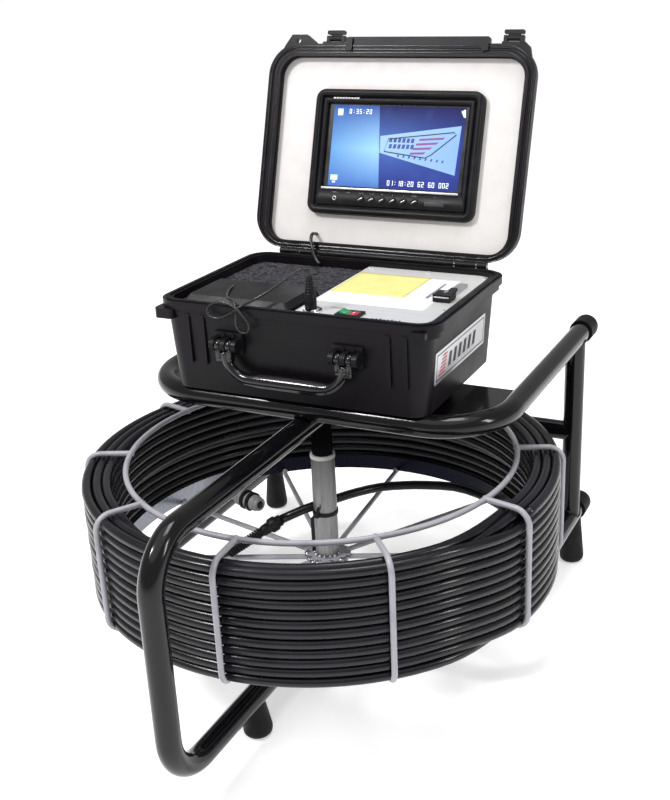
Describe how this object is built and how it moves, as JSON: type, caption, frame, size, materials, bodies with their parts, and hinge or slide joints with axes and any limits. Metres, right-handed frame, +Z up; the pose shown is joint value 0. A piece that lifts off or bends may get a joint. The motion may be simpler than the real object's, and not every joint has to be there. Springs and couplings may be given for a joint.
{
  "type": "pipe inspection camera reel",
  "caption": "Wire cage reel of push rod with a camera head, turning in a C-shaped tube stand, with an open control case and monitor on its tray.",
  "frame": {"origin": "on the reel axle, at the level of the feet", "axes": "+Z up, -Y towards the single front leg, +X to the right of someone facing that leg"},
  "size_m": [0.6267, 0.817, 0.8106],
  "materials": {
    "tube_black": "gloss",
    "wire_grey": "satin powder coat",
    "steel": "satin",
    "chrome": "polished",
    "rubber_black": "matt",
    "push_rod": "gloss",
    "case_plastic": "semi-gloss",
    "matt_black": "matt",
    "foam": "open-cell foam",
    "panel_metal": "brushed",
    "lid_plate": "satin, off-white",
    "paper": "printed film",
    "screen": "gloss",
    "rocker": "two-colour",
    "bush": "satin"
  },
  "bodies": {
    "stand": {"c_frame": "tube_black", "tray_tube": "tube_black", "tray_plate": "tube_black", "tray_saddle": "tube_black", "base_tube": "tube_black", "rear_legs": "tube_black", "rear_cross_tube": "tube_black", "caps_tray": "rubber_black", "caps_base": "rubber_black", "foot_front": "rubber_black", "feet_rear": "rubber_black", "axle": "steel", "axle_sleeves": "tube_black", "case_base": "case_plastic", "case_seal": "rubber_black", "case_runners": "rubber_black", "foam_block": "foam", "charger_box": "matt_black", "control_panel": "panel_metal", "labels": "paper", "socket_ring": "chrome", "charger_plug": "matt_black", "charger_lead": "matt_black", "switch_housing": "matt_black", "memory_slot": "steel", "handle_brackets": "matt_black", "hinge_leaves": "matt_black", "hinge_pins": "steel"},
    "reel": {"hoop_cage": "wire_grey", "top_ring": "wire_grey", "bottom_band": "wire_grey", "hub_tube": "wire_grey", "hub_bushes": "bush", "rod_coil": "push_rod", "rod_tail": "push_rod", "rod_tie": "matt_black", "rod_guide": "matt_black", "rod_coupling": "matt_black", "lead_spring": "steel", "leader_cable": "matt_black", "camera_head": "steel", "camera_skid": "matt_black"},
    "lid": {"lid_knuckles": "matt_black", "lid_shell": "case_plastic", "lid_panel": "lid_plate", "monitor_hood": "matt_black", "monitor_screen": "screen", "latch_ears": "matt_black", "lid_lead": "matt_black"},
    "handle": {"handle": "matt_black"},
    "rocker": {"rocker": "rocker"},
    "memory_stick": {"memory_stick": "matt_black"},
    "latch_left": {"latch_left": "matt_black"},
    "latch_right": {"latch_right": "matt_black"},
    "button_1": {"button_1": "matt_black"},
    "button_2": {"button_2": "matt_black"},
    "button_3": {"button_3": "matt_black"},
    "button_4": {"button_4": "matt_black"},
    "button_5": {"button_5": "matt_black"},
    "button_6": {"button_6": "matt_black"}
  },
  "joints": [
    {"name": "reel_spin", "type": "hinge", "parent": "stand", "child": "reel", "pos_m": [0, 0, 0.22], "axis": [0, 0, 1], "continuous": true},
    {"name": "lid_hinge", "type": "hinge", "parent": "stand", "child": "lid", "pos_m": [0, 0.204, 0.513], "axis": [1, 0, 0], "range_deg": [-8, 86], "deforming": ["lid_lead"]},
    {"name": "handle_swing", "type": "hinge", "parent": "stand", "child": "handle", "pos_m": [0, -0.075, 0.463], "axis": [1, 0, 0], "range_deg": [-92, 3]},
    {"name": "rocker_tilt", "type": "hinge", "parent": "stand", "child": "rocker", "pos_m": [0.065, -0.032, 0.505], "axis": [0, 1, 0], "range_deg": [-14, 0]},
    {"name": "memory_slide", "type": "slide", "parent": "stand", "child": "memory_stick", "axis": [0, -1, 0], "range_m": [0, 0.015]},
    {"name": "latch_left_turn", "type": "hinge", "parent": "lid", "child": "latch_left", "pos_m": [-0.102, 0.30179, 0.7994], "axis": [1, 0, 0], "range_deg": [-10, 90]},
    {"name": "latch_right_turn", "type": "hinge", "parent": "lid", "child": "latch_right", "pos_m": [0.161, 0.30179, 0.7994], "axis": [1, 0, 0], "range_deg": [-10, 90]},
    {"name": "button_1_press", "type": "slide", "parent": "lid", "child": "button_1", "axis": [0, 0.9511, -0.309], "range_m": [0, 0.0015], "stiffness_N_per_m": 600, "springref_m": -0.0003},
    {"name": "button_2_press", "type": "slide", "parent": "lid", "child": "button_2", "axis": [0, 0.9511, -0.309], "range_m": [0, 0.0015], "stiffness_N_per_m": 600, "springref_m": -0.0003},
    {"name": "button_3_press", "type": "slide", "parent": "lid", "child": "button_3", "axis": [0, 0.9511, -0.309], "range_m": [0, 0.0015], "stiffness_N_per_m": 600, "springref_m": -0.0003},
    {"name": "button_4_press", "type": "slide", "parent": "lid", "child": "button_4", "axis": [0, 0.9511, -0.309], "range_m": [0, 0.0015], "stiffness_N_per_m": 600, "springref_m": -0.0003},
    {"name": "button_5_press", "type": "slide", "parent": "lid", "child": "button_5", "axis": [0, 0.9511, -0.309], "range_m": [0, 0.0015], "stiffness_N_per_m": 600, "springref_m": -0.0003},
    {"name": "button_6_press", "type": "slide", "parent": "lid", "child": "button_6", "axis": [0, 0.9511, -0.309], "range_m": [0, 0.0015], "stiffness_N_per_m": 600, "springref_m": -0.0003}
  ]
}
